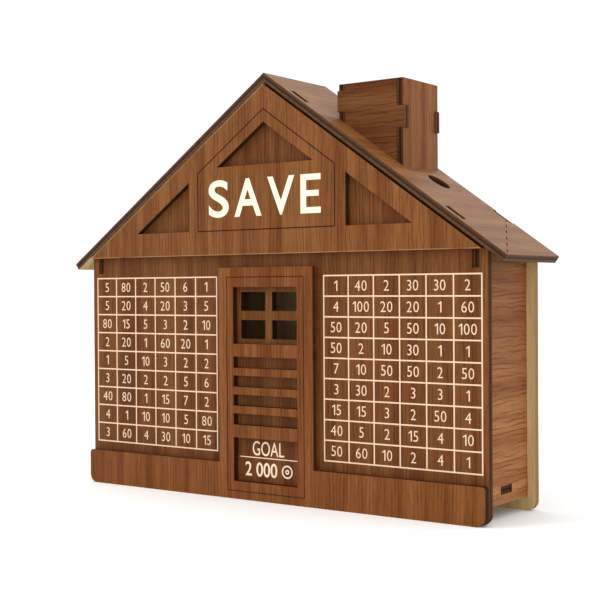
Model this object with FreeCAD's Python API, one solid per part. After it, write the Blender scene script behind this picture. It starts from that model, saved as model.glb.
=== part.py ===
import FreeCAD, Part
import math
import os

# House-shaped money box, glued up from laser-cut veneered plywood boards.
# Millimetres. +X right, +Y from the front to the back, +Z up.
# The origin is on the ground, in the middle of the whole footprint.

os.makedirs("parts", exist_ok=True)
V = FreeCAD.Vector

# ---- sheet stock and fits ----
PLY = 3.0                 # every structural board
OVERLAY = 3.0             # the two decorative boards on the front
LASER_FIT = 0.1           # gap on each side of a tab in its slot
TAB_SHY = 0.5             # tab ends stop short of the face they show in
TENON_SHY = (1.8, 0.3)    # the same for the front and back panels' tenons in the roof
RUN_GAP = 0.3             # gap between the swinging cover and its neighbours
PIVOT_FIT = 0.12          # radial gap round the pivot bolt in the cover
THREAD_FIT = 0.04         # radial gap drawn in place of the thread

# ---- shell ----
HOUSE_W = 200.0           # width of the front and back panels
INNER_DEPTH = 36.0        # clear depth between the front and back panels
EAVE_Z = 101.5            # height of the panels at their side edges
ROOF_PITCH = 35.0         # degrees from level
FOOT_R = 4.0              # rounded bottom corners
SIDE_INSET = 3.5          # side wall set in from the edge of the front panel
SIDE_FOOT = 5.6           # bottom edge of the side walls above the ground
SIDE_TAB_LOW = 8.1        # height of the lower side wall tab
SIDE_TAB_TOP = 6.5        # height of the upper side wall tab
SIDE_TAB_DROP = 0.5       # upper tab top below EAVE_Z
FLOOR_Z = 9.2             # underside of the floor
FLOOR_TAB_END = 9.0       # floor tab length in each side wall
FLOOR_TAB_LONG = 12.0     # floor tab length in the front and back panels
FLOOR_TAB_IN = 50.0       # those tabs' distance from the panel's side edge

# ---- roof ----
EAVE_OUT = 9.0            # level reach of the roof beyond the panel's side edge
ROOF_LIP = 2.5            # roof ahead of the front panel's face
TENON_L = 9.0             # length of a panel tenon in the roof
TENON_FROM_RIDGE = 18.7   # upper tenon, down the slope from the ridge
TENON_FROM_EDGE = 17.0    # lower tenon, up the slope from the panel's side edge

# ---- chimney on the right-hand slope ----
CHIM_X = 28.0             # left outer face from the middle
CHIM_W = 30.0
CHIM_D = 27.0
CHIM_BACK = 11.0          # front face behind the front panel's face
CHIM_TALL = 34.6          # height of its right-hand board above the roof
FINGER_H = 8.5            # height of a finger of the corner joint
FINGER_LEFT = 6.8         # its middle below the chimney top, left-hand corners
FINGER_RIGHT = 15.1       # its middle below the chimney top, right-hand corners
FINGER_PROUD = 0.8        # finger end standing past the side board
CHIM_TAB = 9.0            # tab of the front and back boards in the roof
MOUTH_LAND = 2.0          # roof left between a chimney board and the opening

# ---- pen hole ----
PEN_D = 10.0
PEN_FROM_CHIMNEY = 9.9    # down the slope from the chimney's outer face

# ---- front overlays ----
GABLE_Z = 101.3           # bottom edge of the gable board
GABLE_SHY = 1.0           # drop of its sloping edge below the roof's underside
RAIL_DROP = 10.0          # plumb width of the sloping rail over the side cut-outs
TOP_RAIL_DROP = 15.3      # plumb width of the rail over the top cut-out
SIDE_CUT_X = 40.0         # inner upright edge of a side cut-out
SIDE_CUT_UP = 10.2        # its bottom edge above the gable board's
TOP_CUT_UP = 36.7         # bottom edge of the top cut-out above the gable board's
PLINTH_H = 14.8
PLINTH_TOP_R = 1.4
DOOR_W = 48.0
DOOR_H = 96.0
DOOR_OPEN_W = 32.7        # width of every opening in the door
WINDOW_Z = 64.4
WINDOW_H = 23.5
SLOT_H = 4.7
SLOT_STEP = 7.85
SLOT_TOP = 59.1           # top edge of the highest slot
SLOT_COUNT = 4
GOAL_Z = 7.4
GOAL_H = 18.2
PANE_W = 12.6             # four openings in the front panel behind the window
PANE_H = 7.8
MULLION = 3.6             # upright bar between the panes
TRANSOM = 3.8             # level bar between the panes

# ---- lines scored by a light pass of the laser ----
SCORE_W = 0.5
SCORE_DEEP = 0.3
SIGN_X = 35.0             # half width of the scored sign panel on the gable
DOOR_LINE_X = 19.6        # half width of the scored frame of the door
DOOR_LINE_Z = (3.4, 92.0)
DASH_COUNT = 6            # dashed line across the right-hand roof board
DASH_PAST = 0.4           # its rear end, down the slope from the middle of the lower tenon

# ---- emptying hatch in the back ----
HATCH_D = 50.0
HATCH_Z = 44.0            # middle of the opening
COVER_LAP = 6.0           # cover past the rim of the opening
PIVOT_UP = 41.0           # pivot above the middle of the opening
EAR_R = 8.0
BOLT_D = 3.0
BOLT_HOLE = 3.2
HEAD_D = 5.6
HEAD_H = 2.0
SOCKET_AF = 2.0
SOCKET_DEEP = 1.2
NUT_AF = 5.5
NUT_H = 2.4
WASHER_D = 7.0
WASHER_T = 0.5
BOLT_END = 0.8            # bolt past the nut

# ---- stations that follow from the sizes ----
PITCH = math.radians(ROOF_PITCH)
HALF_W = HOUSE_W / 2
RIDGE_UNDER = EAVE_Z + HALF_W * math.tan(PITCH)
RIDGE_TOP = RIDGE_UNDER + PLY / math.cos(PITCH)
S_EAVE = (HALF_W + EAVE_OUT) / math.cos(PITCH)
S_EDGE = HALF_W / math.cos(PITCH)
TENON_S = (TENON_FROM_RIDGE, S_EDGE - TENON_FROM_EDGE)
COVER_STACK = RUN_GAP + PLY + RUN_GAP + WASHER_T + HEAD_H
TOTAL_DEPTH = OVERLAY + PLY + INNER_DEPTH + PLY + COVER_STACK
Y_FRONT = OVERLAY - TOTAL_DEPTH / 2
Y_IN = Y_FRONT + PLY
Y_OUT = Y_IN + INNER_DEPTH
Y_BACK = Y_OUT + PLY
Y_MID = (Y_FRONT + Y_BACK) / 2
SIDE_X1 = HALF_W - SIDE_INSET
SIDE_X0 = SIDE_X1 - PLY
CHIM_X1 = CHIM_X + CHIM_W
CHIM_Y0 = Y_FRONT + CHIM_BACK
CHIM_Y1 = CHIM_Y0 + CHIM_D
CHIM_TOP = RIDGE_TOP - CHIM_X1 * math.tan(PITCH) + CHIM_TALL
CHIM_MID_S = (CHIM_X + CHIM_W / 2) / math.cos(PITCH)
FLOOR_TAB_X = HALF_W - FLOOR_TAB_IN
COVER_R = HATCH_D / 2 + COVER_LAP
PIVOT_Z = HATCH_Z + PIVOT_UP
COVER_Y0 = Y_BACK + RUN_GAP
COVER_Y1 = COVER_Y0 + PLY
SIDE_TABS = ((SIDE_FOOT, SIDE_FOOT + SIDE_TAB_LOW),
             (EAVE_Z - SIDE_TAB_DROP - SIDE_TAB_TOP, EAVE_Z - SIDE_TAB_DROP))


def box(x0, x1, y0, y1, z0, z1):
    return Part.makeBox(x1 - x0, y1 - y0, z1 - z0, V(x0, y0, z0))


def plate(points, y0, y1):
    """A board standing in the XZ plane, between two depths."""
    ring = [V(x, y0, z) for x, z in points]
    ring.append(ring[0])
    return Part.Face(Part.makePolygon(ring)).extrude(V(0, y1 - y0, 0))


def rod_y(x, z, r, y0, y1):
    return Part.makeCylinder(r, y1 - y0, V(x, y0, z), V(0, 1, 0))


def hexagon_y(x, z, across, y0, y1):
    r = across / math.sqrt(3)
    pts = []
    for k in range(6):
        a = math.radians(60 * k)
        pts.append((x + r * math.cos(a), z + r * math.sin(a)))
    return plate(pts, y0, y1)


def round_uprights(shape, radius, corners):
    """Fillet the edges that run front to back at the given (x, z) corners."""
    picked = []
    for edge in shape.Edges:
        a = edge.Vertexes[0].Point
        b = edge.Vertexes[-1].Point
        if abs(a.x - b.x) > 1e-6 or abs(a.z - b.z) > 1e-6:
            continue
        for x, z in corners:
            if abs(a.x - x) < 1e-4 and abs(a.z - z) < 1e-4:
                picked.append(edge)
    return shape.makeFillet(radius, picked)


def roof_top(x):
    return RIDGE_TOP - abs(x) * math.tan(PITCH)


def roof_under(x):
    return RIDGE_UNDER - abs(x) * math.tan(PITCH)


def on_slope(s, n, side):
    """Point s down the slope from the ridge and n out from the roof's top face."""
    x = s * math.cos(PITCH) + n * math.sin(PITCH)
    z = RIDGE_TOP - s * math.sin(PITCH) + n * math.cos(PITCH)
    return (side * x, z)


def slope_block(s0, s1, n0, n1, y0, y1, side):
    pts = [on_slope(s0, n0, side), on_slope(s1, n0, side),
           on_slope(s1, n1, side), on_slope(s0, n1, side)]
    return plate(pts, y0, y1)


def scored_loop(points, y):
    """Shallow cuts in a board's front face along the closed line through (x, z) points."""
    cuts = []
    half = SCORE_W / 2
    for k, (xa, za) in enumerate(points):
        xb, zb = points[(k + 1) % len(points)]
        length = math.hypot(xb - xa, zb - za)
        ux, uz = (xb - xa) / length * half, (zb - za) / length * half
        strip = [(xa - ux - uz, za - uz + ux), (xb + ux - uz, zb + uz + ux),
                 (xb + ux + uz, zb + uz - ux), (xa - ux + uz, za - uz - ux)]
        cuts.append(plate(strip, y - 1, y + SCORE_DEEP))
    return cuts


# ---- front and back panels ----

def house_board(y0, y1):
    pts = [(-HALF_W, 0), (HALF_W, 0), (HALF_W, EAVE_Z), (0, RIDGE_UNDER), (-HALF_W, EAVE_Z)]
    board = plate(pts, y0, y1)
    return round_uprights(board, FOOT_R, [(-HALF_W, 0), (HALF_W, 0)])


def roof_tenons(y0, y1, shy):
    blocks = []
    for side in (-1, 1):
        for s in TENON_S:
            blocks.append(slope_block(s - TENON_L / 2, s + TENON_L / 2, -PLY - 1, -shy, y0, y1, side))
    return blocks


def panel_slots(y0, y1):
    """Slots for the side wall tabs and the floor tabs, right through a panel."""
    cuts = []
    f = LASER_FIT
    for side in (-1, 1):
        xa, xb = sorted((side * SIDE_X0, side * SIDE_X1))
        for z0, z1 in SIDE_TABS:
            cuts.append(box(xa - f, xb + f, y0, y1, z0 - f, z1 + f))
        xm = side * FLOOR_TAB_X
        half = FLOOR_TAB_LONG / 2 + f
        cuts.append(box(xm - half, xm + half, y0, y1, FLOOR_Z - f, FLOOR_Z + PLY + f))
    return cuts


def window_panes():
    """Centres of the four panes, behind the window of the door."""
    zm = WINDOW_Z + WINDOW_H / 2
    dx = (MULLION + PANE_W) / 2
    dz = (TRANSOM + PANE_H) / 2
    return [(sx * dx, zm + sz * dz) for sx in (-1, 1) for sz in (-1, 1)]


def front_wall():
    wall = house_board(Y_FRONT, Y_IN)
    wall = wall.fuse(roof_tenons(Y_FRONT, Y_IN, TENON_SHY[0]))
    cuts = panel_slots(Y_FRONT - 1, Y_IN + 1)
    for x, z in window_panes():
        half_w = PANE_W / 2
        half_h = PANE_H / 2
        cuts.append(box(x - half_w, x + half_w, Y_FRONT - 1, Y_IN + 1, z - half_h, z + half_h))
    return wall.cut(cuts).removeSplitter()


def back_panel():
    panel = house_board(Y_OUT, Y_BACK)
    panel = panel.fuse(roof_tenons(Y_OUT, Y_BACK, TENON_SHY[1]))
    cuts = panel_slots(Y_OUT - 1, Y_BACK + 1)
    cuts.append(rod_y(0, HATCH_Z, HATCH_D / 2, Y_OUT - 1, Y_BACK + 1))
    cuts.append(rod_y(0, PIVOT_Z, BOLT_HOLE / 2, Y_OUT - 1, Y_BACK + 1))
    return panel.cut(cuts).removeSplitter()


# ---- side walls and floor ----

def side_wall(side):
    xa, xb = sorted((side * SIDE_X0, side * SIDE_X1))
    wall = box(xa, xb, Y_IN, Y_OUT, SIDE_FOOT, roof_under(SIDE_X1))
    tabs = [box(xa, xb, Y_FRONT + TAB_SHY, Y_BACK - TAB_SHY, z0, z1) for z0, z1 in SIDE_TABS]
    wall = wall.fuse(tabs)
    half = FLOOR_TAB_END / 2 + LASER_FIT
    slot = box(xa - 1, xb + 1, Y_MID - half, Y_MID + half, FLOOR_Z - LASER_FIT, FLOOR_Z + PLY + LASER_FIT)
    return wall.cut(slot).removeSplitter()


def floor_panel():
    z0 = FLOOR_Z
    z1 = FLOOR_Z + PLY
    board = box(-SIDE_X0, SIDE_X0, Y_IN, Y_OUT, z0, z1)
    half = FLOOR_TAB_END / 2
    reach = SIDE_X1 - TAB_SHY
    tabs = [box(-reach, reach, Y_MID - half, Y_MID + half, z0, z1)]
    for side in (-1, 1):
        xm = side * FLOOR_TAB_X
        long_half = FLOOR_TAB_LONG / 2
        tabs.append(box(xm - long_half, xm + long_half, Y_FRONT + TAB_SHY, Y_BACK - TAB_SHY, z0, z1))
    return board.fuse(tabs).removeSplitter()


# ---- roof ----

def roof_board(side):
    y0 = Y_FRONT - ROOF_LIP
    pts = [(0, RIDGE_UNDER), (0, RIDGE_TOP), on_slope(S_EAVE, 0, side), on_slope(S_EAVE, -PLY, side)]
    board = plate(pts, y0, Y_BACK)
    f = LASER_FIT
    cuts = []
    for s in TENON_S:
        half = TENON_L / 2 + f
        cuts.append(slope_block(s - half, s + half, -PLY - 1, 1, Y_FRONT - f, Y_IN + f, side))
        cuts.append(slope_block(s - half, s + half, -PLY - 1, 1, Y_OUT - f, Y_BACK + 1, side))
    return board.cut(cuts)


def chimney_mouth():
    """The opening in the roof under the chimney."""
    s0 = (CHIM_X + PLY) / math.cos(PITCH)
    s1 = (CHIM_X1 - PLY) / math.cos(PITCH)
    inset = PLY + MOUTH_LAND
    return slope_block(s0, s1, -PLY - 1, 1, CHIM_Y0 + inset, CHIM_Y1 - inset, 1)


def chimney_tab(y0, extra):
    half = CHIM_TAB / 2 + extra
    return slope_block(CHIM_MID_S - half, CHIM_MID_S + half, -PLY - extra, 1, y0 - extra, y0 + PLY + extra, 1)


def pen_hole():
    s = CHIM_X1 / math.cos(PITCH) + PEN_FROM_CHIMNEY
    x, z = on_slope(s, -PLY - 1, 1)
    axis = V(math.sin(PITCH), 0, math.cos(PITCH))
    return Part.makeCylinder(PEN_D / 2, PLY + 2, V(x, (CHIM_Y0 + CHIM_Y1) / 2, z), axis)


def scored_dashes():
    """Dashed line from the front eave corner to the rear tenon's slot."""
    s0, y0 = S_EAVE, Y_FRONT - ROOF_LIP
    s1, y1 = TENON_S[1] + DASH_PAST, Y_BACK
    length = math.hypot(s1 - s0, y1 - y0)
    us, uy = (s1 - s0) / length, (y1 - y0) / length
    ws, wy = -uy * SCORE_W / 2, us * SCORE_W / 2
    step = length / DASH_COUNT
    cuts = []
    for k in range(DASH_COUNT):
        a = (k + 0.25) * step
        b = (k + 0.75) * step
        ring = []
        for t, w in ((a, -1), (b, -1), (b, 1), (a, 1)):
            x, z = on_slope(s0 + us * t + ws * w, -SCORE_DEEP, 1)
            ring.append(V(x, y0 + uy * t + wy * w, z))
        ring.append(ring[0])
        cuts.append(Part.Face(Part.makePolygon(ring)).extrude(V(math.sin(PITCH), 0, math.cos(PITCH))))
    return cuts


def roof_right():
    board = roof_board(1)
    cuts = [chimney_mouth(), pen_hole()]
    cuts.append(chimney_tab(CHIM_Y0, LASER_FIT))
    cuts.append(chimney_tab(CHIM_Y1 - PLY, LASER_FIT))
    return board.cut(cuts + scored_dashes()).removeSplitter()


def roof_left():
    return roof_board(-1).removeSplitter()


# ---- chimney ----

def fingers(extra):
    """Height ranges of the corner fingers, left and right."""
    spans = []
    for drop in (FINGER_LEFT, FINGER_RIGHT):
        mid = CHIM_TOP - drop
        spans.append((mid - FINGER_H / 2 - extra, mid + FINGER_H / 2 + extra))
    return spans


def chimney_face(y0):
    """Front or back board, with its two fingers and its tab in the roof."""
    xa = CHIM_X + PLY
    xb = CHIM_X1 - PLY
    y1 = y0 + PLY
    board = plate([(xa, roof_top(xa)), (xb, roof_top(xb)), (xb, CHIM_TOP), (xa, CHIM_TOP)], y0, y1)
    left, right = fingers(0)
    parts = [box(CHIM_X - FINGER_PROUD, xa, y0, y1, left[0], left[1])]
    parts.append(box(xb, CHIM_X1 + FINGER_PROUD, y0, y1, right[0], right[1]))
    parts.append(chimney_tab(y0, 0))
    return board.fuse(parts).removeSplitter()


def chimney_side(x0, span):
    x1 = x0 + PLY
    pts = [(x0, roof_top(x0)), (x1, roof_top(x1)), (x1, CHIM_TOP), (x0, CHIM_TOP)]
    board = plate(pts, CHIM_Y0, CHIM_Y1)
    f = LASER_FIT
    front = box(x0 - 1, x1 + 1, CHIM_Y0 - 1, CHIM_Y0 + PLY + f, span[0], span[1])
    rear = box(x0 - 1, x1 + 1, CHIM_Y1 - PLY - f, CHIM_Y1 + 1, span[0], span[1])
    return board.cut([front, rear]).removeSplitter()


# ---- front overlays ----

def gable_edge(x, drop):
    """Height on a line parallel to the gable board's sloping edge."""
    return roof_under(x) - GABLE_SHY - drop


def x_on_gable(z, drop):
    return (RIDGE_UNDER - GABLE_SHY - drop - z) / math.tan(PITCH)


def gable_overlay():
    y0 = Y_FRONT - OVERLAY
    reach = x_on_gable(GABLE_Z, 0)
    board = plate([(-reach, GABLE_Z), (reach, GABLE_Z), (0, gable_edge(0, 0))], y0, Y_FRONT)
    zt = GABLE_Z + TOP_CUT_UP
    top = x_on_gable(zt, TOP_RAIL_DROP)
    cuts = [plate([(-top, zt), (top, zt), (0, gable_edge(0, TOP_RAIL_DROP))], y0 - 1, Y_FRONT + 1)]
    zs = GABLE_Z + SIDE_CUT_UP
    far = x_on_gable(zs, RAIL_DROP)
    for side in (-1, 1):
        pts = [(side * SIDE_CUT_X, zs), (side * far, zs), (side * SIDE_CUT_X, gable_edge(SIDE_CUT_X, RAIL_DROP))]
        cuts.append(plate(pts, y0 - 1, Y_FRONT + 1))
    shoulder = gable_edge(SIGN_X, RAIL_DROP)
    sign = [(-SIGN_X, zs), (SIGN_X, zs), (SIGN_X, shoulder), (0, gable_edge(0, RAIL_DROP)), (-SIGN_X, shoulder)]
    return board.cut(cuts + scored_loop(sign, y0)).removeSplitter()


def door_overlay():
    y0 = Y_FRONT - OVERLAY
    plinth = box(-HALF_W, HALF_W, y0, Y_FRONT, 0, PLINTH_H)
    plinth = round_uprights(plinth, FOOT_R, [(-HALF_W, 0), (HALF_W, 0)])
    plinth = round_uprights(plinth, PLINTH_TOP_R, [(-HALF_W, PLINTH_H), (HALF_W, PLINTH_H)])
    board = plinth.fuse(box(-DOOR_W / 2, DOOR_W / 2, y0, Y_FRONT, 0, DOOR_H))
    half = DOOR_OPEN_W / 2
    rows = [(WINDOW_Z, WINDOW_Z + WINDOW_H), (GOAL_Z, GOAL_Z + GOAL_H)]
    for k in range(SLOT_COUNT):
        top = SLOT_TOP - k * SLOT_STEP
        rows.append((top - SLOT_H, top))
    cuts = [box(-half, half, y0 - 1, Y_FRONT + 1, z0, z1) for z0, z1 in rows]
    zl, zh = DOOR_LINE_Z
    frame_line = [(-DOOR_LINE_X, zl), (DOOR_LINE_X, zl), (DOOR_LINE_X, zh), (-DOOR_LINE_X, zh)]
    return board.cut(cuts + scored_loop(frame_line, y0)).removeSplitter()


# ---- swinging cover and its pivot ----

def cover_outline(y):
    """Disc over the opening, joined to the ear round the pivot by two tangents."""
    sin_a = (COVER_R - EAR_R) / PIVOT_UP
    cos_a = math.sqrt(1 - sin_a * sin_a)
    disc = V(COVER_R * cos_a, y, HATCH_Z + COVER_R * sin_a)
    ear = V(EAR_R * cos_a, y, PIVOT_Z + EAR_R * sin_a)
    disc_l = V(-disc.x, y, disc.z)
    ear_l = V(-ear.x, y, ear.z)
    low = V(0, y, HATCH_Z - COVER_R)
    high = V(0, y, PIVOT_Z + EAR_R)
    edges = [Part.Arc(disc_l, low, disc).toShape(), Part.makeLine(disc, ear)]
    edges.append(Part.Arc(ear, high, ear_l).toShape())
    edges.append(Part.makeLine(ear_l, disc_l))
    return Part.Wire(edges)


def hatch_cover():
    plate_ = Part.Face(cover_outline(COVER_Y0)).extrude(V(0, PLY, 0))
    return plate_.cut(rod_y(0, PIVOT_Z, BOLT_D / 2 + PIVOT_FIT, COVER_Y0 - 1, COVER_Y1 + 1))


def pivot_bolt():
    head_y = COVER_Y1 + RUN_GAP + WASHER_T
    end_y = Y_OUT - WASHER_T - NUT_H - BOLT_END
    head = rod_y(0, PIVOT_Z, HEAD_D / 2, head_y, head_y + HEAD_H)
    rim = [e for e in head.Edges if len(e.Vertexes) == 1 and abs(e.Vertexes[0].Y - head_y - HEAD_H) < 1e-6]
    head = head.makeFillet(HEAD_H * 0.4, rim)
    shank = rod_y(0, PIVOT_Z, BOLT_D / 2, end_y, head_y)
    socket = hexagon_y(0, PIVOT_Z, SOCKET_AF, head_y + HEAD_H - SOCKET_DEEP, head_y + HEAD_H + 1)
    return head.fuse(shank).cut(socket).removeSplitter()


def pivot_nut():
    y1 = Y_OUT - WASHER_T
    nut = hexagon_y(0, PIVOT_Z, NUT_AF, y1 - NUT_H, y1)
    return nut.cut(rod_y(0, PIVOT_Z, BOLT_D / 2 + THREAD_FIT, y1 - NUT_H - 1, y1 + 1))


def washer(y0):
    ring = rod_y(0, PIVOT_Z, WASHER_D / 2, y0, y0 + WASHER_T)
    return ring.cut(rod_y(0, PIVOT_Z, BOLT_D / 2 + THREAD_FIT, y0 - 1, y0 + WASHER_T + 1))


def pivot_washers():
    return Part.makeCompound([washer(Y_OUT - WASHER_T), washer(COVER_Y1 + RUN_GAP)])


def build():
    left, right = fingers(LASER_FIT)
    return {
        "front_wall": front_wall(),
        "gable_overlay": gable_overlay(),
        "door_overlay": door_overlay(),
        "wall_left": side_wall(-1),
        "wall_right": side_wall(1),
        "floor_panel": floor_panel(),
        "back_panel": back_panel(),
        "roof_left": roof_left(),
        "roof_right": roof_right(),
        "chimney_front": chimney_face(CHIM_Y0),
        "chimney_back": chimney_face(CHIM_Y1 - PLY),
        "chimney_left": chimney_side(CHIM_X, left),
        "chimney_right": chimney_side(CHIM_X1 - PLY, right),
        "hatch_cover": hatch_cover(),
        "pivot_bolt": pivot_bolt(),
        "pivot_nut": pivot_nut(),
        "pivot_washers": pivot_washers(),
    }


for name, shape in build().items():
    shape.exportStep("parts/" + name + ".step")
    bb = shape.BoundBox
    print(name, len(shape.Solids), "solid, valid", shape.isValid(), "x %.1f %.1f y %.1f %.1f z %.1f %.1f" % (
        bb.XMin, bb.XMax, bb.YMin, bb.YMax, bb.ZMin, bb.ZMax))
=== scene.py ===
# %% [markdown]
# # A wooden savings house
# The object is a flat money box shaped like a gabled house. It is glued up
# from laser-cut boards: 3 mm plywood with a stained veneer on its outer side
# and pale bare wood on its inner side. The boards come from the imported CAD
# model, which is the fixed frame. This lesson gives every board its finish,
# adds the printed amounts and words, and sets up the studio.

# %% Load the frame
import math
import bmesh
import bpy
import numpy as np
from mathutils import Matrix, Vector


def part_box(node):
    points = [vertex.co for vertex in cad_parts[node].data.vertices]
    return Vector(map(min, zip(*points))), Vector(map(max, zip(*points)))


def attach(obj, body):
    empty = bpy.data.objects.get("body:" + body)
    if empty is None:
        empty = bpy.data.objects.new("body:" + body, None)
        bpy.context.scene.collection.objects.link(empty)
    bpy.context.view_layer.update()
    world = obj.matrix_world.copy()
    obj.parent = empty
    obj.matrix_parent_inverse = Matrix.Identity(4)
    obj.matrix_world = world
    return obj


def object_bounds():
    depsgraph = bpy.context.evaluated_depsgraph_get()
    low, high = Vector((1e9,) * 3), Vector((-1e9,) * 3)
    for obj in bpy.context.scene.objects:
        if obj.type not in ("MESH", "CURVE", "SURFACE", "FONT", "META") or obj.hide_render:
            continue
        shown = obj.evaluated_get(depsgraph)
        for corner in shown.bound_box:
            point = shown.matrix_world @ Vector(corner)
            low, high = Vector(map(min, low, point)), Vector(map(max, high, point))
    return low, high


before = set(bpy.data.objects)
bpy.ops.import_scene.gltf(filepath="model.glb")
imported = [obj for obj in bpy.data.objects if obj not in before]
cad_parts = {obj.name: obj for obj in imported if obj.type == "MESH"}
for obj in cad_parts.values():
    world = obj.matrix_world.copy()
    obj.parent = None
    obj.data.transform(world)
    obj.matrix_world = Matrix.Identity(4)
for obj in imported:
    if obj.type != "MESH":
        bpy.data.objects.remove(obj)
cad_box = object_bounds()
MM = 0.001
size = cad_box[1] - cad_box[0]
print("boards and fittings:", len(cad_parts), "size in mm:", [round(v / MM, 1) for v in size])

# %% [markdown]
# ## The camera
# The house stands at eye height, turned about 36 degrees, so that the front,
# the right wall and a thin slice of the roof show. A camera is a rotation and
# a place. The rotation could be typed as three Euler angles, but built from
# three directions - right, up and back - it can't come out in a wrong order.

# %% Camera
turn, tilt, roll = math.radians(35.82), math.radians(-0.50), math.radians(-0.354)
ahead = Vector((-math.sin(turn) * math.cos(tilt), math.cos(turn) * math.cos(tilt), math.sin(tilt)))
level = Vector((math.cos(turn), math.sin(turn), 0))
above = level.cross(ahead)
right = math.cos(roll) * level + math.sin(roll) * above
up = right.cross(ahead)
SENSOR_WIDE = 36
FOCAL_TO_WIDTH = 1246.1 / 600
camera = bpy.data.objects.new("camera", bpy.data.cameras.new("camera"))
camera.matrix_world = Matrix((right, up, -ahead)).transposed().to_4x4()
camera.location = (309.1 * MM, -428.8 * MM, 86.9 * MM)
camera.data.sensor_width, camera.data.lens = SENSOR_WIDE, FOCAL_TO_WIDTH * SENSOR_WIDE
camera.data.clip_start, camera.data.clip_end = 0.01, 60
bpy.context.scene.collection.objects.link(camera)
bpy.context.scene.camera = camera
print("camera lens", round(camera.data.lens, 1), "mm, at", [round(v, 3) for v in camera.location])

# %% [markdown]
# ## Surfaces from arrays
# The printed film and the floor are worked out as arrays of points and put
# into a mesh in one go. Blender's own primitives would do for a floor, but
# not for a table of lines, and one way for everything is easier to follow.
# The helper takes points and faces, welds what coincides and turns all faces
# outwards.

# %% Mesh helper
WELD = 1e-7


def surface(name, points, faces, weld=True):
    """Make an object at the origin from an array of points and lists of corner numbers."""
    mesh = bpy.data.meshes.new(name)
    mesh.from_pydata(np.asarray(points, float), [], [list(map(int, f)) for f in faces])
    if weld:
        work = bmesh.new()
        work.from_mesh(mesh)
        bmesh.ops.remove_doubles(work, verts=work.verts, dist=WELD)
        bmesh.ops.recalc_face_normals(work, faces=work.faces)
        work.to_mesh(mesh)
        work.free()
    piece = bpy.data.objects.new(name, mesh)
    bpy.context.scene.collection.objects.link(piece)
    print(name, "has", len(mesh.polygons), "faces")
    return piece


print("points closer than", WELD / MM, "mm are welded")

# %% [markdown]
# ## The floor
# A wide, pale, round floor has no corner or edge near the house that could
# show. A disc is the simplest such surface: rings of points about a middle.

# %% Floor
def disc(radius, rings, spokes):
    """Point k of ring r lies at radius * r / rings, turned by k / spokes of a full turn.
    The middle is one point, joined to the first ring by triangles."""
    r, k = np.meshgrid(np.arange(1, rings + 1), np.arange(spokes), indexing="ij")
    angle = 2 * math.pi * k / spokes
    reach = radius * r / rings
    ring_points = np.stack([reach * np.cos(angle), reach * np.sin(angle), 0 * r], -1)
    points = np.concatenate([np.zeros((1, 3)), ring_points.reshape(-1, 3)])
    inner = (1 + (r[:-1] - 1) * spokes + k[:-1]).ravel()
    beside = (1 + (r[:-1] - 1) * spokes + (k[:-1] + 1) % spokes).ravel()
    quads = np.stack([inner, inner + spokes, beside + spokes, beside], -1)
    first = np.arange(spokes)
    fan = np.stack([0 * first, 1 + first, 1 + (first + 1) % spokes], -1)
    return points, list(fan) + list(quads)


floor = surface("studio_floor", *disc(40, 12, 64), weld=False)

# %% [markdown]
# ## The light
# The light is mostly a white surround, so shadows are soft. Three large lamps
# help: a key from the upper left gives the recesses their darker left and
# upper rims, one overhead whitens the floor, and a low one fills the
# right-hand wall.

# %% Light
world = bpy.data.worlds.new("surround")
bpy.context.scene.world = world
world.use_nodes = True
world.node_tree.nodes["Background"].inputs["Color"].default_value = (1, 1, 1, 1)
world.node_tree.nodes["Background"].inputs["Strength"].default_value = 1.06
bpy.context.scene.view_settings.view_transform = "Standard"


def lamp(name, place, aim, width, watts, colour=(1, 1, 1)):
    """A round soft lamp of that width at a place, turned to shine at the aim."""
    light = bpy.data.lights.new(name, "AREA")
    light.shape, light.size, light.energy, light.color = "DISK", width, watts, colour
    held = bpy.data.objects.new(name, light)
    held.location = place
    held.rotation_mode = "QUATERNION"
    held.rotation_quaternion = (Vector(aim) - Vector(place)).to_track_quat("-Z", "Y")
    bpy.context.scene.collection.objects.link(held)


lamp("key", (-1.1, -1.3, 1.5), (0, 0, 0.08), 0.7, 11, (1.0, 0.97, 0.93))
lamp("overhead", (0, 0, 2.5), (0, 0, 0), 2.0, 12)
lamp("right_fill", (1.4, -0.75, 0.28), (0.1, 0, 0.03), 0.6, 6, (1.0, 0.98, 0.95))

# %% [markdown]
# ## Writing materials as sums
# A material is a tree of nodes. Wiring it by hand hides the idea, so one
# small class wraps a socket and lets Python's signs build the Math nodes:
# `1 - mask * 2` then makes two nodes and two links.

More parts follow.
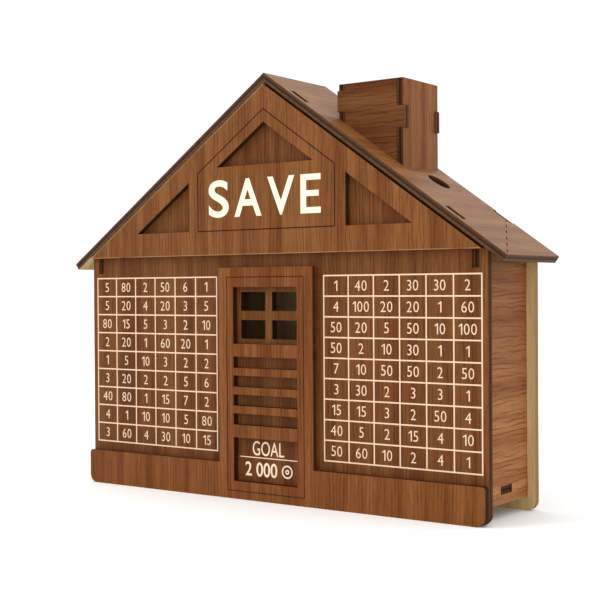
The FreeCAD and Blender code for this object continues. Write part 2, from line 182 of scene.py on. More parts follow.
# %% A socket that can be added and multiplied
class Value:
    """One output socket of a finish; each sign adds a Math node that reads it."""

    def __init__(self, finish, socket):
        self.finish, self.socket = finish, socket

    def sign(self, operation, *others, clamp=False):
        """The Math node of that operation on the others."""
        settings = {"operation": operation, "use_clamp": clamp}
        return self.finish.node("ShaderNodeMath", settings, dict(enumerate(others)))

    def __add__(self, other):
        return self.sign("ADD", self, other)

    def __radd__(self, other):
        return self.sign("ADD", other, self)

    def __sub__(self, other):
        return self.sign("SUBTRACT", self, other)

    def __rsub__(self, other):
        return self.sign("SUBTRACT", other, self)

    def __mul__(self, other):
        return self.sign("MULTIPLY", self, other)

    def __rmul__(self, other):
        return self.sign("MULTIPLY", other, self)

    def __truediv__(self, other):
        return self.sign("DIVIDE", self, other)

    def __pow__(self, other):
        return self.sign("POWER", self, other)

    def __abs__(self):
        return self.sign("ABSOLUTE", self)

    def __gt__(self, other):
        return self.sign("GREATER_THAN", self, other)

    def __lt__(self, other):
        return self.sign("LESS_THAN", self, other)

    def rounded(self):
        """The nearest whole number."""
        return self.sign("ROUND", self)

    def clamped(self):
        """No less than 0 and no more than 1."""
        return self.sign("ADD", self, 0, clamp=True)

    def between(self, low, high):
        """0 below low, 1 above high and a soft rise between them."""
        sockets = {"Value": self, "From Min": low, "From Max": high}
        return self.finish.node("ShaderNodeMapRange", {"interpolation_type": "SMOOTHSTEP"}, sockets)


print("a socket can now be added, multiplied and compared, as a", Value.__name__)

# %% [markdown]
# ## One method for every other node
# Noise, colour mixing and ramps are nodes too, and each has settings, which
# are set first, and sockets, which take a number or a link. One method does
# both for any type. The few that a board needs often get a short name. All
# of them read Object coordinates, so a pattern stays with its piece.

# %% The finish
class Finish:
    """One material, while its nodes are being made."""

    def __init__(self, name):
        self.material = bpy.data.materials.new(name)
        self.material.use_nodes = True
        self.tree = self.material.node_tree
        self.tree.nodes.clear()

    def node(self, kind, settings=None, sockets=None, out=0):
        """A node of that kind: settings first, then the value or link of each socket; gives one output."""
        made = self.tree.nodes.new(kind)
        for key, value in (settings or {}).items():
            if key == "stops":
                ramp = made.color_ramp.elements
                ramp[0].color, ramp[-1].color = value[0][1], value[-1][1]
                for place, shade in value[1:-1]:
                    ramp.new(place).color = shade
            else:
                setattr(made, key, value)
        for key, value in (sockets or {}).items():
            if isinstance(value, Value):
                self.tree.links.new(value.socket, made.inputs[key])
            else:
                made.inputs[key].default_value = value
        return Value(self, made.outputs[out])

    def dot(self, one, other):
        """The dot product of two directions or places."""
        return self.node("ShaderNodeVectorMath", {"operation": "DOT_PRODUCT"}, {0: one, 1: other}, "Value")

    def along(self, direction):
        """How far a point of the piece lies along a direction, in metres."""
        return self.dot(self.node("ShaderNodeTexCoord", out="Object"), direction)

    def facing(self, direction):
        """1 where the surface faces straight along a direction, 0 where it stands on edge to it."""
        return self.dot(self.node("ShaderNodeTexCoord", out="Normal"), direction)

    def noise(self, x, y, z, detail=2.0, rough=0.5):
        """Soft patches about one unit wide, from 0 to 1."""
        spot = self.node("ShaderNodeCombineXYZ", None, {0: x, 1: y, 2: z})
        sockets = {"Vector": spot, "Scale": 1.0, "Detail": detail, "Roughness": rough}
        return self.node("ShaderNodeTexNoise", {"noise_dimensions": "3D"}, sockets)

    def mix(self, share, one, other):
        """The one colour, and by that share the other."""
        settings = {"data_type": "RGBA", "clamp_factor": True}
        return self.node("ShaderNodeMix", settings, {0: share, 6: one, 7: other}, 2)

    def bump(self, height, strength, distance):
        """A normal tipped by the slope of the height."""
        sockets = {"Height": height, "Strength": strength, "Distance": distance}
        return self.node("ShaderNodeBump", None, sockets)

    def shader(self, sockets):
        """The finished material, with one shader at its end."""
        end = self.node("ShaderNodeBsdfPrincipled", None, sockets)
        out = self.tree.nodes.new("ShaderNodeOutputMaterial")
        self.tree.links.new(end.socket, out.inputs["Surface"])
        return self.material


def tint(red, green, blue):
    """A colour given as 0 to 255 screen numbers, as the light values that a shader wants."""
    c = np.array([red, green, blue]) / 255
    c = np.where(c <= 0.04045, c / 12.92, ((c + 0.055) / 1.055) ** 2.4)
    return (float(c[0]), float(c[1]), float(c[2]), 1.0)


print("a mid brown is", [round(v, 3) for v in tint(133, 83, 47)])

# %% [markdown]
# ## Stained veneer
# The veneer is a thin slice of an open-grained wood. What the eye reads as
# grain is three things: broad bands that drift lighter and darker, thin dark
# growth lines that wander and fade, and short pores. Bands and pores are
# noise stretched along the grain: the numbers beside along and across say how
# many patches a metre holds. The growth lines are evenly pitched lines whose
# phase is pushed about by noise, so they stay near parallel, as in a sheet
# sliced straight off the log, and never cross.

# %% Veneer
def veneer(f, along, across, depth, stain, figure, seed):
    """Colour = light to dark by the broad bands, then darkened by flecks, growth lines and pores.
    A growth line lies where across * pitch + wobble is a whole number, and fades along the grain."""
    light, dark, line = stain
    pitch, wander, fade_along, fade_from, strength = figure
    drift = f.noise(along * 10, across * 25, seed, 2.0)
    bent = across + (drift - 0.5) * 0.0026
    band = f.noise(along * 6, bent * 150, seed + 3.1, 2.0, 0.6)
    slow = f.noise(along * 20, across * 60, seed + 7.7, 1.0)
    quick = f.noise(along * 130, across * 150, seed + 9.2, 1.0)
    phase = bent * pitch + (slow - 0.5) * wander + (quick - 0.5) * wander * 0.30
    fade = f.noise(along * fade_along, bent * 420, seed + 1.3, 1.0).between(fade_from, fade_from + 0.16)
    growth = (1 - abs(phase - phase.rounded()) * 5.6).clamped() * fade
    pore = f.noise(along * 170, bent * 2100, depth * 300 + seed, 1.5).between(0.60, 0.72)
    fleck = f.noise(along * 75, bent * 1250, seed + 5.9, 3.0, 0.7)
    shade = f.mix(band.between(0.30, 0.74), light, dark)
    shade = f.mix(fleck.between(0.38, 0.80) * 0.45, shade, line)
    shade = f.mix(growth * strength, shade, line)
    shade = f.mix(pore * 0.40, shade, line)
    height = 1 - growth * 0.6 - pore * 0.8 - fleck * 0.3
    return shade, height


STAIN = (tint(137, 87, 44), tint(107, 58, 19), tint(60, 24, 3))
PALE_STAIN = (tint(161, 110, 64), tint(128, 76, 35), tint(64, 26, 4))
# pitch of the growth lines, their wander, patches of fading per metre, where fading starts, strength
STRAIGHT = (600, 2.0, 46, 0.40, 0.66)
WAVY = (560, 3.0, 40, 0.38, 0.84)
FAINT = (500, 2.2, 30, 0.36, 0.46)


def toned(stain, amount):
    """The same stain, lighter above 1 and darker below, one number for red, green and blue each."""
    return tuple(tuple(v * a for v, a in zip(shade, amount)) + (1.0,) for shade in stain)


print("growth lines lie", [round(1000 / figure[0], 2) for figure in (STRAIGHT, WAVY, FAINT)], "mm apart")

# %% [markdown]
# ## Bare inner wood and burnt edges
# The back of a sheet is pale poplar with faint lines. A laser burns the cut
# edge: thin plies show as brown bands round a nearly black core, and the
# veneer's own edge is a hair-thin lighter line at the face, partly its paler
# wood and partly a painted highlight where light catches the arris. The
# bands depend only on how deep a point lies in the board, so one ramp draws them.

# %% Bare wood and edges
def bare_wood(f, along, across, seed):
    """Colour = pale wood, a little darker in slow bands and fine fibres."""
    band = f.noise(along * 18, across * 150, seed + 11.0, 3.0, 0.6)
    fibre = f.noise(along * 120, across * 1500, seed + 13.0, 2.0)
    shade = f.mix(band.between(0.3, 0.75), tint(200, 172, 124), tint(172, 140, 92))
    shade = f.mix(fibre.between(0.5, 0.75) * 0.45, shade, tint(150, 118, 76))
    return shade, 1 - fibre * 0.6


# The stop at 0.05 is the veneer's thin light edge line: partly paler wood, partly a painted highlight on the
# arris.
PLIES = [(0.00, tint(38, 15, 3)), (0.05, tint(124, 82, 42)), (0.12, tint(82, 46, 17)),
         (0.36, tint(76, 41, 14)), (0.42, tint(28, 8, 0)), (0.56, tint(26, 7, 0)),
         (0.64, tint(88, 55, 25)), (0.90, tint(94, 60, 28)), (1.00, tint(32, 12, 3))]


def burnt_edge(f, share, along, across, depth, seed):
    """Colour by share, which is depth over thickness, then darkened by soot streaks and patches."""
    wobble = f.noise(along * 220, across * 220, seed, 2.0)
    plies = f.node("ShaderNodeValToRGB", {"stops": PLIES}, {0: share + (wobble - 0.5) * 0.06})
    soot = f.noise(along * 1300, across * 1300, depth * 90 + seed, 3.0, 0.65)
    patch = f.noise(along * 90, across * 90, seed + 4.0, 2.0)
    shade = f.mix(soot.between(0.42, 0.70) * 0.45, plies, tint(44, 20, 6))
    shade = f.mix(patch.between(0.50, 0.75) * 0.40, shade, tint(36, 15, 4))
    return shade, 1 - soot * 0.8


print("an edge runs through", len(PLIES), "colours from face to face")

# %% [markdown]
# ## One finish for any board
# Every board is the same sheet, only turned. So one function takes the
# direction from the outer face to the inner face, the place of the outer
# face along it, and the direction of the grain. It asks each point two
# questions: does the surface face along the thickness, and how deep is it?
# Outer face gives veneer, inner face gives bare wood, the rest is burnt.
# The floors of the scored lines lie just under the face, so they burn too.
# Where a board's edges were burnt more than the rest, or its inner face
# browned, is told by rules: small functions that give a share from 0 to 1
# for each point. Painted shade and painted highlights are given as
# directions and distances instead.

# %% Board finish
THICK = 3 * MM
SKIN = 0.1 * MM
SCORE_FLOOR = 0.5 * MM
RIM_FROM, RIM_TO = 0.42 * MM, 0.18 * MM
# The third of these colours is painted shade, for the side walls under the eaves.
SOOT, SCORED, EAVE_SHADE_COLOUR, BROWNED = tint(26, 9, 2), tint(44, 22, 9), tint(70, 36, 18), tint(96, 60, 32)
# The pale rim colour is a painted highlight; the dark one is partly burn and partly painted shadow.
RIM_HIGHLIGHT, RIM_BURN_AND_SHADE = tint(178, 138, 92), tint(66, 32, 12)


def evenly(share):
    """A rule that gives the same share all over."""
    return lambda f: share


def board_finish(name, inward, outer, grain, seed, stain=STAIN, figure=STRAIGHT, gloss=0.10, rough=0.5,
                 bare_outside=False, char=evenly(0.0), soot=SOOT, score=0.8, rims=(), rim=RIM_HIGHLIGHT,
                 painted_shade=None, browning=evenly(0.0)):
    """char: a rule for how far the cut edges go towards the soot colour;
    score: how dark the scored lines are burnt;
    rims: (direction, how far out) of outline edges with a thin line of the rim colour, a painted highlight
    with the pale colour, burn and painted shadow with the dark one;
    painted shade, the argument after rim: (direction, from, to, amount) of a darkening that deepens along a
    direction;
    singe: a rule for how far the bare inner face is browned."""
    f = Finish(name)
    inward = Vector(inward).normalized()
    grain = Vector(grain).normalized()
    sideways = inward.cross(grain)
    depth = f.along(tuple(inward)) - outer
    along, across = f.along(tuple(grain)), f.along(tuple(sideways))
    flat = abs(f.facing(tuple(inward))) > 0.5
    skin = (depth < SKIN) * flat
    back = (depth > THICK - SKIN) * flat
    if bare_outside:
        outside, outside_height = bare_wood(f, along, across, seed + 2.0)
    else:
        outside, outside_height = veneer(f, along, across, depth, stain, figure, seed)
    # A thin patchy line along each listed outline edge: a painted highlight in the pale colour, partly burn
    # and partly painted shadow in the dark one.
    for outward, reach in rims:
        near = (reach - f.along(outward)).between(RIM_FROM, RIM_TO)
        rim_paint = near * f.noise(along * 60, across * 60, seed, 1.0).between(0.2, 0.5)
        outside = f.mix(rim_paint * 0.55, outside, rim)
    # Painted shade: the outer face darkens along a direction, standing in for the shade under the eaves.
    if painted_shade:
        direction, start, end, amount = painted_shade
        outside = f.mix(f.along(direction).between(start, end) * amount, outside, EAVE_SHADE_COLOUR)
    inside, inside_height = bare_wood(f, along, across, seed)
    # The bare inner face is browned by the share that the rule gives.
    inside = f.mix(browning(f), inside, BROWNED)
    edge, edge_height = burnt_edge(f, depth / THICK, along, across, depth, seed)
    edge = f.mix(char(f), edge, soot)
    scored = (depth > SKIN) * (depth < SCORE_FLOOR) * flat
    edge = f.mix(scored, edge, f.mix(score, outside, SCORED))
    colour = f.mix(back, f.mix(skin, edge, outside), inside)
    height = outside_height * skin + inside_height * back + edge_height * (1 - skin - back)
    roughness = rough + (1 - skin) * 0.25 + (height - 0.5) * 0.08
    bump = f.bump(height, 0.35, 0.08 * MM)
    return f.shader({"Base Color": colour, "Roughness": roughness, "Normal": bump,
                     "Specular IOR Level": gloss})


print("a board is", round(THICK / MM, 1), "mm thick, its veneer", round(SKIN / MM, 1), "mm")

# %% [markdown]
# ## Where the faces lie
# The outer plane of each board is read from its own box, so nothing is
# measured twice. The roof boards slope, so their plane is found from the
# pitch and the height of the ridge.

# %% Planes and directions
UPRIGHT, LEVEL_X, LEVEL_Y = (0, 0, 1), (1, 0, 0), (0, 1, 0)
TO_BACK, TO_FRONT, TO_LEFT, TO_RIGHT = (0, 1, 0), (0, -1, 0), (-1, 0, 0), (1, 0, 0)
PITCH = math.radians(35)
cos_p, sin_p = math.cos(PITCH), math.sin(PITCH)
roof_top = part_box("roof_right")[1].z * cos_p
slope_right, slope_left = (-sin_p, 0, -cos_p), (sin_p, 0, -cos_p)
front_y, skin_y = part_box("front_wall")[0].y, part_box("gable_overlay")[0].y
side_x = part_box("wall_right")[1].x
back_y, cover_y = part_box("back_panel")[1].y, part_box("hatch_cover")[1].y
chimney_low, chimney_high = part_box("chimney_left")[0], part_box("chimney_right")[1]
print("roof plane lies", round(roof_top / MM, 2), "mm from the origin")
print("chimney spans", [round(v / MM, 1) for v in (chimney_low.x, chimney_high.x)], "mm across")

# %% [markdown]
# ## The front boards
# The grain runs upright on the front. The wall is stained darkest, as painted
# shade of the two boards that are glued on it, which are a little lighter.
# Cut edges are blackest in the door's openings and at the two ends. The
# gable's lower edge and its left slope carry a thin pale line, a painted
# highlight where light catches the arris.

# %% Dress the front
DOOR_OPENINGS = 17 * MM
SIDE_TABS = 97 * MM


def dress(node, material):
    """Give a board or fitting of the frame that one material."""
    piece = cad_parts[node]
    piece.data.materials.clear()
    piece.data.materials.append(material)


def from_middle(f):
    """How far a point lies from the middle of the house."""
    return abs(f.along(LEVEL_X))


def wall_char(f):
    """Much soot behind the door's openings, a little elsewhere."""
    return (from_middle(f) < DOOR_OPENINGS) * 0.75 + 0.15


def door_char(f):
    """Soot in the door's openings and at the plinth's ends."""
    return (from_middle(f) < DOOR_OPENINGS) * 0.55 + (from_middle(f) > SIDE_TABS) * 0.55 + 0.1


gable_low, gable_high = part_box("gable_overlay")
# Painted highlight along the gable's lower edge and its left slope.
gable_highlight_rims = (((0, 0, -1), -gable_low.z), ((-sin_p, 0, cos_p), gable_high.z * cos_p))
# The wall's stain is toned darkest as painted shade of the gable and door boards glued on it.
shaded_wall_stain, gable_stain, door_stain = (toned(STAIN, amount) for amount in (
    (0.70, 0.67, 0.66), (0.89, 0.91, 0.92), (0.91, 0.86, 0.83)))
dress("front_wall", board_finish(
    "front_wall_veneer", TO_BACK, front_y, UPRIGHT, 2.0, shaded_wall_stain, char=wall_char))
dress("gable_overlay", board_finish(
    "gable_veneer", TO_BACK, skin_y, UPRIGHT, 9.0, gable_stain, char=evenly(0.5), rims=gable_highlight_rims))
dress("door_overlay", board_finish(
    "door_veneer", TO_BACK, skin_y, UPRIGHT, 17.0, door_stain, char=door_char, score=0.42))
print("front boards dressed, planes at", [round(v / MM, 2) for v in (front_y, skin_y)], "mm")

# %% [markdown]
# ## Walls, floor and back
# The side walls are paler, with the grain level, and darken towards the eaves:
# this is painted shade of the roof's overhang. A thin dark line along their
# front and rear edges is partly burn and partly painted shadow where they
# meet the front and back. The floor is bare on both sides. The back and its
# cover are stained like the front.

# %% Dress the walls, the floor and the back
def tenon_char(f):
    """A pale scorch on the tabs at the two sides only."""
    return (from_middle(f) > SIDE_TABS) * 0.65


# A dark line along the walls' front and rear edges: partly burn, partly painted shadow where they meet the
# front and back.
wall_burn_and_shade_rims = ((TO_BACK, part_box("back_panel")[0].y), (TO_FRONT, -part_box("front_wall")[1].y))
# Painted shade of the eaves: the side walls darken from 12 mm up to 88 mm.
wall_eave_shade = (UPRIGHT, 12 * MM, 88 * MM, 0.42)
for side, inward, seed in (("right", TO_LEFT, 23.0), ("left", TO_RIGHT, 29.0)):
    dress(f"wall_{side}", board_finish(
        f"wall_{side}_veneer", inward, -side_x, LEVEL_Y, seed, PALE_STAIN, WAVY,
        char=evenly(0.45), rims=wall_burn_and_shade_rims, rim=RIM_BURN_AND_SHADE, painted_shade=wall_eave_shade))
dress("floor_panel", board_finish(
    "floor_board", UPRIGHT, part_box("floor_panel")[0].z, LEVEL_X, 31.0, bare_outside=True, char=evenly(0.45)))
dress("back_panel", board_finish(
    "back_veneer", TO_FRONT, -back_y, UPRIGHT, 37.0, char=tenon_char, soot=tint(150, 122, 86)))
dress("hatch_cover", board_finish(
    "cover_veneer", TO_FRONT, -cover_y, UPRIGHT, 41.0, figure=WAVY))
print("walls, floor, back and cover dressed")

# %% [markdown]
# ## Roof and chimney
# The roof boards have a faint figure and a little more gloss, because light
# grazes them. The chimney's front and back have level grain and a darker
# stain, which is painted shade of the roof in front of them, and its right
# board is paler with upright grain. Its finger joints stand a little proud,
# and the inner face of those finger ends is browned.

# %% Dress the roof and the chimney
roof_stain = toned(PALE_STAIN, (0.77, 0.74, 0.57))
for side, inward, seed in (("right", slope_right, 43.0), ("left", slope_left, 47.0)):
    dress(f"roof_{side}", board_finish(
        f"roof_{side}_veneer", inward, -roof_top, LEVEL_Y, seed, roof_stain, FAINT,
        gloss=0.22, rough=0.42, char=evenly(0.12)))
chimney_middle = (chimney_low.x + chimney_high.x) / 2
chimney_half = (chimney_high.x - chimney_low.x) / 2


def finger_ends(f):
    """1 on the fingers that stand out past the chimney's side boards."""
    return abs(f.along(LEVEL_X) - chimney_middle) > chimney_half


# The chimney's front and back get a darker stain as painted shade, where the roof in front keeps light off
# them.
shaded_chimney_stain, warm_stain = toned(STAIN, (0.65, 0.63, 0.62)), toned(STAIN, (1.0, 1.05, 1.25))
dress("chimney_front", board_finish(
    "chimney_front_veneer", TO_BACK, chimney_low.y, LEVEL_X, 53.0, shaded_chimney_stain, WAVY))
dress("chimney_back", board_finish(
    "chimney_back_veneer", TO_FRONT, -chimney_high.y, LEVEL_X, 59.0, shaded_chimney_stain, WAVY, browning=finger_ends))
dress("chimney_left", board_finish(
    "chimney_left_veneer", TO_RIGHT, chimney_low.x, UPRIGHT, 61.0, char=evenly(0.35)))
dress("chimney_right", board_finish(
    "chimney_right_veneer", TO_LEFT, -chimney_high.x, UPRIGHT, 67.0, warm_stain, FAINT, char=evenly(0.35)))
print("veneered boards:", sum("veneer" in o.data.materials[0].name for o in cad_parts.values()))

# %% [markdown]
# ## The pivot's steel
# The bolt, nut and washers are zinc-plated. Zinc is a cool grey metal with a
# slightly uneven, cloudy shine, and turned faces carry fine rings round the
# bolt's middle. Both are noise, the rings read from the distance to the axis.

# %% Zinc
PIVOT_HIGH = 0.085


def zinc(name, seed):
    """Grey metal whose roughness drifts in clouds, with fine rings round the bolt's middle."""
    f = Finish(name)
    x, y, z = f.along(LEVEL_X), f.along(LEVEL_Y), f.along(UPRIGHT)
    high = z - PIVOT_HIGH
    radius = (x * x + high * high) ** 0.5
    rings = f.noise(radius * 9000, y * 600, seed, 1.0)
    cloud = f.noise(x * 500, y * 500, z * 500, 3.0)
    colour = f.mix(cloud.between(0.3, 0.7), tint(196, 198, 200), tint(164, 167, 172))
    bump = f.bump(rings, 0.25, 0.02 * MM)
    return f.shader({"Base Color": colour, "Metallic": 1.0, "Roughness": 0.28 + cloud * 0.2, "Normal": bump})


for k, node in enumerate(("pivot_bolt", "pivot_nut", "pivot_washers")):
    dress(node, zinc(node + "_zinc", 3.0 + k))
print("steel fittings dressed, axis at", round(PIVOT_HIGH / MM, 1), "mm")

# %% [markdown]
# ## Printed film
# The amounts are printed in cream ink as two tables of 6 by 9 fields. A table
# of lines is a chequer of strips: where a strip of a line crosses any other,
# there is ink, and only the field between four lines is empty. One array says
# which patches carry ink, and the helper raises those patches into a thin,
# closed film, with walls only where ink meets no ink.

# %% Film from a patch table
def film(xs, zs, ink, y0, y1):
    """Patch (i, j) spans xs[i] to xs[i + 1] and zs[j] to zs[j + 1].
    It is solid from y0 to y1 where ink[i, j] is true."""
    wide, tall = len(xs), len(zs)
    gx, gz = np.meshgrid(xs, zs, indexing="ij")
    sheet = [np.stack([gx, 0 * gx + y, gz], -1).reshape(-1, 3) for y in (y0, y1)]
    points = np.concatenate(sheet)
    number = np.arange(wide * tall).reshape(wide, tall)
    far = wide * tall
    a, b, c, d = number[:-1, :-1], number[1:, :-1], number[1:, 1:], number[:-1, 1:]
    faces = [np.stack([a, b, c, d], -1)[ink], np.stack([d, c, b, a], -1)[ink] + far]
    edge = np.pad(ink, 1)
    sides = (((a, b), edge[1:-1, :-2]), ((b, c), edge[2:, 1:-1]),
             ((c, d), edge[1:-1, 2:]), ((d, a), edge[:-2, 1:-1]))
    for (p, q), next_ink in sides:
        bare = ink & ~next_ink
        faces.append(np.stack([q, p, p + far, q + far], -1)[bare])
    return points, np.concatenate(faces)


def table_film(x0, x1, z0, z1, columns, rows, width, y0, y1):
    """Lines centred on even steps between the outer lines; each line is a strip of the given width."""
    mid_x, mid_z = np.linspace(x0, x1, columns + 1), np.linspace(z0, z1, rows + 1)
    xs = np.stack([mid_x - width / 2, mid_x + width / 2], -1).ravel()
    zs = np.stack([mid_z - width / 2, mid_z + width / 2], -1).ravel()
    i, j = np.meshgrid(np.arange(len(xs) - 1), np.arange(len(zs) - 1), indexing="ij")
    return film(xs, zs, (i % 2 == 0) | (j % 2 == 0), y0, y1)


INK_DEEP = 0.04 * MM
film_y = (front_y - INK_DEEP, front_y + 0.01 * MM)
print("ink stands from", [round(y / MM, 2) for y in film_y], "mm")

# %% [markdown]
# ## Letters and numbers as meshes
# Each word or number is typed as a text object, given a little thickness,
# turned into a mesh and stood upright on the board. Only then is it moved
# into place, because the mesh has to hold the place. The built-in typeface is
# squeezed in width to the narrow look that printed tables have.

# %% Lettering
def lettering(words, height, squeeze, bolder=0.0, curve_steps=3):
    """Points and faces of the words, standing in the XZ plane and centred on zero:
    across = typed x * scale * squeeze, up = typed y * scale."""
    typed = bpy.data.curves.new("typed", "FONT")
    typed.body, typed.resolution_u, typed.extrude, typed.offset = words, curve_steps, 1.0, bolder
    holder = bpy.data.objects.new("typed", typed)
    bpy.context.scene.collection.objects.link(holder)
    bpy.context.view_layer.update()
    mesh = bpy.data.meshes.new_from_object(holder.evaluated_get(bpy.context.evaluated_depsgraph_get()))
    flat = np.zeros(len(mesh.vertices) * 3)
    mesh.vertices.foreach_get("co", flat)
    flat = flat.reshape(-1, 3)
    faces = [list(p.vertices) for p in mesh.polygons]
    low, high = flat.min(0), flat.max(0)
    scale = height / (high[1] - low[1])
    across = (flat[:, 0] - (low[0] + high[0]) / 2) * scale * squeeze
    upward = (flat[:, 1] - (low[1] + high[1]) / 2) * scale
    points = np.stack([across, -flat[:, 2] * INK_DEEP / 2, upward], -1)
    bpy.data.objects.remove(holder)
    bpy.data.curves.remove(typed)
    bpy.data.meshes.remove(mesh)
    return points, faces


def cut_out(outline, height):
    """A closed outline of (across, up) points, in parts of the height and as deep as the ink:
    one cap half the depth in front, one behind, and a wall round them."""
    flat = np.asarray(outline, float) * height
    flat -= (flat.min(0) + flat.max(0)) / 2
    caps = [np.stack([flat[:, 0], 0 * flat[:, 0] + side * INK_DEEP / 2, flat[:, 1]], -1) for side in (-1, 1)]
    k = np.arange(len(flat))
    beside = (k + 1) % len(flat)
    wall = np.stack([beside, k, k + len(flat), beside + len(flat)], -1)
    return np.concatenate(caps), [list(k), list(k[::-1] + len(flat))] + [list(w) for w in wall]


def gather(parts):
    """One array of points and one list of faces from many, each with its own shift."""
    points, faces, base = [], [], 0
    for (own, own_faces), shift in parts:
        points.append(own + np.asarray(shift))
        faces += [[n + base for n in f] for f in own_faces]
        base += len(own)
    return np.concatenate(points), faces


def side_by_side(glyphs, gap):
    """Each glyph starts one gap after the last one's end, and the whole row is centred on zero."""
    wide = np.array([np.ptp(points[:, 0]) for points, _ in glyphs])
    middles = np.cumsum(wide + gap) - gap - wide / 2 - (wide.sum() + gap * (len(wide) - 1)) / 2
    return gather([(glyph, (x, 0, 0)) for glyph, x in zip(glyphs, middles)])


print("lettering stands", round(INK_DEEP / MM, 2), "mm deep on the boards")

# %% [markdown]
# ## The amounts
# The saver crosses off an amount each time it goes into the box. The amounts
# here are dealt by rule: each common sum appears a fixed number of times, the
# 108 of them add up to 2000, and a seeded shuffle spreads them out.

# %% Amounts
COUNTS = {1: 12, 2: 16, 3: 9, 4: 7, 5: 9, 6: 2, 7: 2, 10: 10,
          15: 6, 20: 8, 30: 5, 40: 3, 50: 9, 60: 4, 80: 4, 100: 2}
amounts = np.repeat(list(COUNTS), list(COUNTS.values()))
np.random.default_rng(7).shuffle(amounts)
print(len(amounts), "amounts that add up to", amounts.sum())

# %% [markdown]
# ## Ten digits, sixteen numbers
# Typing all 108 numbers would make 108 text objects. It is lighter to make
# each digit once and set digits side by side. The figure 1 is cut from its
# own outline, with the clear flag that printed tables give it.

# %% Digits and numbers
DIGIT_TALL = 4.1 * MM
DIGIT_GAP = 0.16 * DIGIT_TALL
ONE = [(0.23, 0), (0.355, 0), (0.355, 1), (0.265, 1), (0, 0.82), (0, 0.70), (0.23, 0.83)]
digits = {d: lettering(d, DIGIT_TALL, 0.92, -0.006) for d in "02345678"}
digits["1"] = cut_out(ONE, DIGIT_TALL)
number_shapes = {n: side_by_side([digits[d] for d in str(n)], DIGIT_GAP) for n in COUNTS}
print(len(digits), "digits make", len(number_shapes), "numbers")

# %% [markdown]
# ## Cream ink
# Screen-printed ink lies on the veneer as a dull skin and thins where the
# pores drink it, so the wood glows through as a warmer tone. It is the same
# ink everywhere, a little fuller on the words than on the thin table lines.

# %% Ink
def cream_ink(name, seed, full, thin):
    """The full colour, thinned a little along the grain, on a dull, faintly uneven surface."""
    f = Finish(name)
    x, z = f.along(LEVEL_X), f.along(UPRIGHT)
    drunk = f.noise(x * 1500, z * 120, seed, 2.0).between(0.52, 0.75)
    mottle = f.noise(x * 700, z * 700, seed + 2.0, 2.0)
    colour = f.mix(drunk * 0.35, full, thin)
    colour = f.mix(mottle.between(0.4, 0.8) * 0.2, colour, thin)
    rough = 0.6 + mottle * 0.15
    bump = f.bump(mottle, 0.2, 0.03 * MM)
    return f.shader({"Base Color": colour, "Roughness": rough, "Normal": bump, "Specular IOR Level": 0.2})


table_ink = cream_ink("table_ink", 5.0, tint(226, 197, 168), tint(198, 158, 118))
word_ink = cream_ink("word_ink", 8.0, tint(240, 227, 206), tint(224, 201, 170))
label_ink = cream_ink("label_ink", 11.0, tint(240, 216, 188), tint(212, 178, 140))


def printed(name, ink, points, faces):
    """A print of that ink, which rides on the house."""
    piece = surface(name, points, faces)
    piece.data.materials.append(ink)
    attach(piece, "house")


print("inks:", table_ink.name, word_ink.name, label_ink.name)

# %% [markdown]
# ## The number tables
# One table stands on each side of the door. The lines and the 54 numbers of a
# table are one piece, since they are one print.

# %% Number tables
GRID_X, GRID_Z = (27.5 * MM, 97.5 * MM), (18.8 * MM, 92.2 * MM)
COLUMNS, ROWS = 6, 9
LINE_WIDE = 0.56 * MM
HALF = COLUMNS * ROWS


def number_table(name, x0, x1, values):
    """Lines, then one number in the middle of each field, row by row from the top."""
    lines = table_film(x0, x1, *GRID_Z, COLUMNS, ROWS, LINE_WIDE, *film_y)
    step_x, step_z = (x1 - x0) / COLUMNS, (GRID_Z[1] - GRID_Z[0]) / ROWS
    parts = [(lines, (0, 0, 0))]
    for k, value in enumerate(values):
        row, column = divmod(k, COLUMNS)
        middle = (x0 + (column + 0.5) * step_x, front_y - INK_DEEP / 2, GRID_Z[1] - (row + 0.5) * step_z)
        parts.append((number_shapes[int(value)], middle))
    printed(name, table_ink, *gather(parts))


number_table("amounts_left", -GRID_X[1], -GRID_X[0], amounts[:HALF])
number_table("amounts_right", GRID_X[0], GRID_X[1], amounts[HALF:])

# %% [markdown]
# ## The sign
# The gable carries one heavy word. The letters come from the built-in
# typeface, made bolder and set to widths that fill the framed field evenly.
# Its E grows too heavy when made bolder, so that one is cut from an outline.

# %% Sign
SIGN_TALL, LETTER_GAP = 15.6 * MM, 3.0 * MM
SIGN_X, SIGN_Z = -0.3 * MM, 124.8 * MM
LETTER_WIDE = np.array([10.8, 14.2, 13.6, 9.8]) * MM
STEM, ARM, SHORT_ARM = 0.18, 0.63, 0.57
LETTER_E = [(0, 0), (ARM, 0), (ARM, 0.155), (STEM, 0.155), (STEM, 0.435), (SHORT_ARM, 0.435),
            (SHORT_ARM, 0.585), (STEM, 0.585), (STEM, 0.845), (ARM, 0.845), (ARM, 1), (0, 1)]
letters = [lettering(letter, SIGN_TALL, 1.0, 0.016, curve_steps=12) for letter in "SAV"]
letters.append(cut_out(LETTER_E, SIGN_TALL))
for (points, _), width in zip(letters, LETTER_WIDE):
    points[:, 0] *= width / np.ptp(points[:, 0])
sign = side_by_side(letters, LETTER_GAP)
printed("sign_word", word_ink, *gather([(sign, (SIGN_X, skin_y - INK_DEEP / 2, SIGN_Z))]))

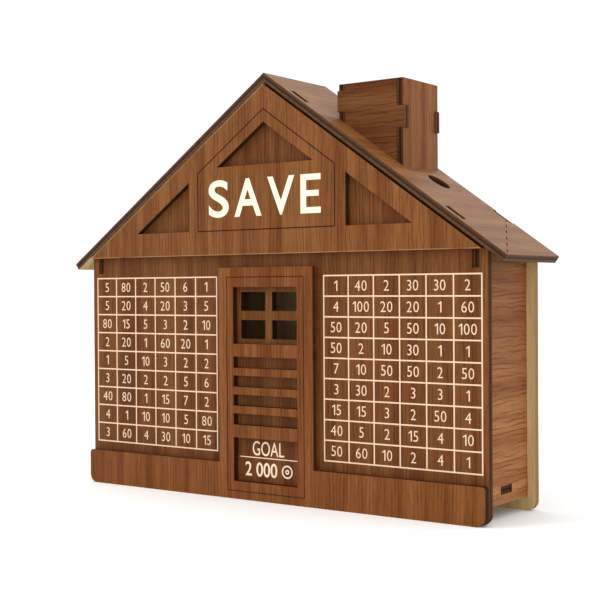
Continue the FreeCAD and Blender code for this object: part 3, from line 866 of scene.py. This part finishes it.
# %% [markdown]
# ## The goal
# The door's lowest opening shows the sum to reach, with a thin rule between a
# small word and the number. A plain round mark stands for the coin: a ring is
# four circles of points, an outer and an inner one in front and behind.

# %% Goal label
def ring_film(radius, width, spokes=48):
    """A flat ring: circles at radius and radius - width, at the front and back of the ink."""
    angle = np.linspace(0, 2 * math.pi, spokes, endpoint=False)
    loops = [(radius, -1), (radius - width, -1), (radius - width, 1), (radius, 1)]
    circles = [np.stack([r * np.cos(angle), 0 * angle + side * INK_DEEP / 2, r * np.sin(angle)], -1)
               for r, side in loops]
    k = np.arange(spokes)
    beside = (k + 1) % spokes
    faces = [np.stack([a * spokes + k, b * spokes + k, b * spokes + beside, a * spokes + beside], -1)
             for a, b in ((0, 1), (1, 2), (2, 3), (3, 0))]
    return np.concatenate(circles), np.concatenate(faces)


def on_label(x, z):
    """A place on the front wall, in metres from millimetres."""
    return (x * MM, front_y - INK_DEEP / 2, z * MM)


WORD_TALL = 5.9 * MM
SUM_Z = 12.6
goal_word = lettering("GOAL", WORD_TALL, 0.72, curve_steps=6)
goal_sum = lettering("2 000", WORD_TALL, 0.90, 0.010, curve_steps=6)
rule = film(np.array([-15.5, 14.3]) * MM, np.array([17.25, 17.6]) * MM, np.ones((1, 1), bool), *film_y)
coin, coin_dot = ring_film(2.7 * MM, 0.6 * MM), ring_film(1.0 * MM, 0.55 * MM)
printed("goal_label", label_ink, *gather([
    (goal_word, on_label(-0.6, 21.3)), (goal_sum, on_label(-4.3, SUM_Z)), (rule, (0, 0, 0)),
    (coin, on_label(9.0, SUM_Z)), (coin_dot, on_label(9.0, SUM_Z))]))

# %% [markdown]
# ## The floor's finish
# The floor is matt and almost white. A trace of slow mottling keeps it from
# being one dead tone, and it has no gloss, so that nothing mirrors in it.

# %% Floor finish
f = Finish("pale_floor")
speck = f.noise(f.along(LEVEL_X) * 40, f.along(LEVEL_Y) * 40, 0.0, 3.0)
floor_colour = f.mix(speck, tint(252, 252, 252), tint(249, 249, 248))
floor.data.materials.append(f.shader({
    "Base Color": floor_colour, "Roughness": 0.9, "Specular IOR Level": 0.0}))
print("floor finish:", floor.data.materials[0].name)
